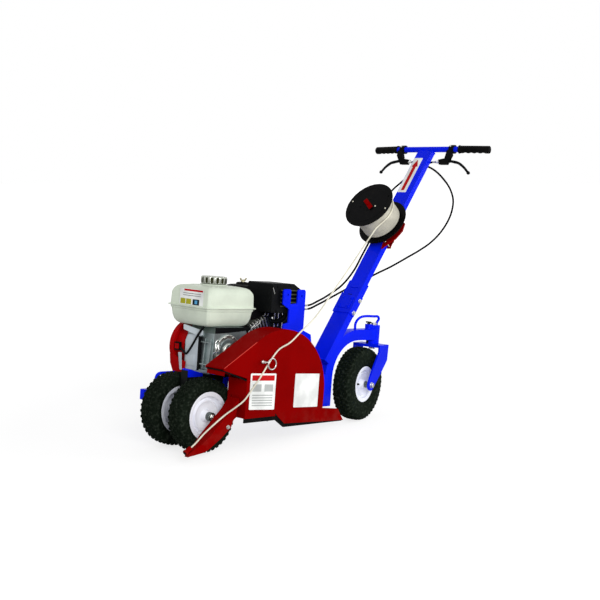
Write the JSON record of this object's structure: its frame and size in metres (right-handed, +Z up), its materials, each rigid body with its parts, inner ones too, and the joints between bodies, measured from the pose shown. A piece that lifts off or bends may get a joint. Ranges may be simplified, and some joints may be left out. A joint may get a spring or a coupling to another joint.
{
  "type": "cable plow",
  "caption": "Walk-behind cable plow with petrol engine, guarded trenching rotor, trailing boot, wire spool on a raked column, knobby front wheels and a swivelling rear wheel.",
  "frame": {"origin": "centre of the bounding box at ground level", "axes": "+X from the front wheels towards the handlebar, +Y away from the guarded rotor, +Z up"},
  "size_m": [1.513, 0.6678, 1.1615],
  "materials": {
    "blue_paint": "gloss",
    "red_paint": "satin",
    "cream_paint": "gloss",
    "white_rim": "satin",
    "tyre": "matte",
    "red_shroud": "satin",
    "black_plastic": "satin",
    "spool_plastic": "gloss",
    "black_metal": "satin",
    "grip_rubber": "matte",
    "cast_aluminium": "satin",
    "bright_steel": "satin",
    "dark_steel": "satin",
    "chrome": "gloss",
    "cream_wire": "satin",
    "cable_sheath": "satin",
    "belt_rubber": "matte"
  },
  "bodies": {
    "machine": {"main_frame": "blue_paint", "rear_arm": "blue_paint", "carry_handle": "blue_paint", "cable_bracket": "blue_paint", "column_tube": "blue_paint", "column_clamp": "blue_paint", "clamp_bolt_lower": "bright_steel", "clamp_bolt_upper": "bright_steel", "handlebar": "blue_paint", "grip_left": "grip_rubber", "grip_right": "grip_rubber", "lever_mount_left": "black_plastic", "lever_mount_right": "black_plastic", "control_cable_left": "cable_sheath", "control_cable_right": "cable_sheath", "spool_bracket": "red_paint", "spool_axle": "bright_steel", "spool_retainer": "red_paint", "laid_wire": "cream_wire", "wire_eye": "chrome", "blade_guard": "red_paint", "shaft_bearing_near": "bright_steel", "shaft_bearing_far": "bright_steel", "drive_belt": "belt_rubber", "crankcase": "cast_aluminium", "cylinder": "cast_aluminium", "head_cover": "cast_aluminium", "carburettor": "cast_aluminium", "fuel_tank": "cream_paint", "recoil_shroud": "red_shroud", "muffler": "black_metal", "air_cleaner": "black_plastic", "switch_box": "black_plastic", "front_axle": "bright_steel", "boot_bolt": "bright_steel"},
    "front_wheel_near": {"front_tyre_near": "tyre", "front_rim_near": "white_rim"},
    "front_wheel_far": {"front_tyre_far": "tyre", "front_rim_far": "white_rim"},
    "caster": {"caster_fork": "blue_paint", "kingpin": "bright_steel", "rear_axle": "bright_steel"},
    "rear_wheel": {"rear_tyre": "tyre", "rear_rim": "white_rim"},
    "caster_lock": {"lock_pin": "bright_steel"},
    "boot": {"plow_boot": "red_paint"},
    "spool": {"wire_spool": "spool_plastic", "wire_winding": "cream_wire"},
    "left_lever": {"lever_left": "black_plastic"},
    "right_lever": {"lever_right": "black_plastic"},
    "rotor": {"trench_blade": "dark_steel", "rotor_shaft": "bright_steel", "driven_pulley": "dark_steel"},
    "crank": {"crankshaft": "bright_steel", "drive_pulley": "dark_steel"},
    "starter_pull": {"recoil_grip": "black_plastic"},
    "stop_switch": {"switch_rocker": "red_shroud"},
    "tank_cap": {"fuel_cap": "chrome"},
    "cleaner_nut": {"air_cleaner_nut": "chrome"}
  },
  "joints": [
    {"name": "front_wheel_near_spin", "type": "hinge", "parent": "machine", "child": "front_wheel_near", "pos_m": [-0.57693, 0.06341, 0.14266], "axis": [0, 1, 0], "continuous": true},
    {"name": "front_wheel_far_spin", "type": "hinge", "parent": "machine", "child": "front_wheel_far", "pos_m": [-0.57693, 0.22441, 0.14266], "axis": [0, 1, 0], "continuous": true},
    {"name": "caster_swivel", "type": "hinge", "parent": "machine", "child": "caster", "pos_m": [0.30621, -0.02109, 0.04984], "axis": [0.1045, 0, 0.9945], "continuous": true},
    {"name": "rear_wheel_spin", "type": "hinge", "parent": "caster", "child": "rear_wheel", "pos_m": [0.21632, -0.0388, 0.15563], "axis": [-0.1727, 0.9848, 0.0182], "continuous": true},
    {"name": "caster_lock_slide", "type": "slide", "parent": "machine", "child": "caster_lock", "axis": [0.1045, 0, 0.9945], "range_m": [0, 0.013]},
    {"name": "boot_pivot", "type": "hinge", "parent": "machine", "child": "boot", "pos_m": [-0.56572, 0.14391, 0.11534], "axis": [0, 1, 0], "range_deg": [-12, 0]},
    {"name": "spool_spin", "type": "hinge", "parent": "machine", "child": "spool", "pos_m": [0.34929, -0.02109, 0.86896], "axis": [0.7649, 0, -0.6441], "continuous": true},
    {"name": "left_lever_squeeze", "type": "hinge", "parent": "machine", "child": "left_lever", "pos_m": [0.68812, 0.08891, 1.08677], "axis": [0.9945, 0, -0.1045], "range_deg": [0, 18], "stiffness_Nm_per_rad": 0.3, "springref_deg": -5.73},
    {"name": "right_lever_squeeze", "type": "hinge", "parent": "machine", "child": "right_lever", "pos_m": [0.68812, -0.13109, 1.08677], "axis": [0.9945, 0, -0.1045], "range_deg": [-18, 0], "stiffness_Nm_per_rad": 0.3, "springref_deg": 5.73},
    {"name": "rotor_spin", "type": "hinge", "parent": "machine", "child": "rotor", "pos_m": [-0.29403, 0.14391, 0.20342], "axis": [0, 1, 0], "continuous": true},
    {"name": "crank_spin", "type": "hinge", "parent": "machine", "child": "crank", "pos_m": [-0.40821, 0.14391, 0.36072], "axis": [0, 1, 0], "continuous": true},
    {"name": "starter_pull_slide", "type": "slide", "parent": "machine", "child": "starter_pull", "axis": [0.9945, 0, -0.1045], "range_m": [0, 0.12], "stiffness_N_per_m": 8, "springref_m": -0.03},
    {"name": "stop_switch_rock", "type": "hinge", "parent": "machine", "child": "stop_switch", "pos_m": [-0.50846, 0.14391, 0.37125], "axis": [0, 1, 0], "range_deg": [-6, 6]},
    {"name": "tank_cap_turn", "type": "hinge", "parent": "machine", "child": "tank_cap", "pos_m": [-0.42278, 0.21391, 0.12646], "axis": [0.1045, 0, 0.9945], "range_deg": [0, 90]},
    {"name": "cleaner_nut_turn", "type": "hinge", "parent": "machine", "child": "cleaner_nut", "pos_m": [-0.22686, 0.25191, 0.10586], "axis": [0.1045, 0, 0.9945], "continuous": true}
  ],
  "couplings": [
    {"joint": "crank_spin", "follows": "rotor_spin", "ratio": 1.4098}
  ]
}
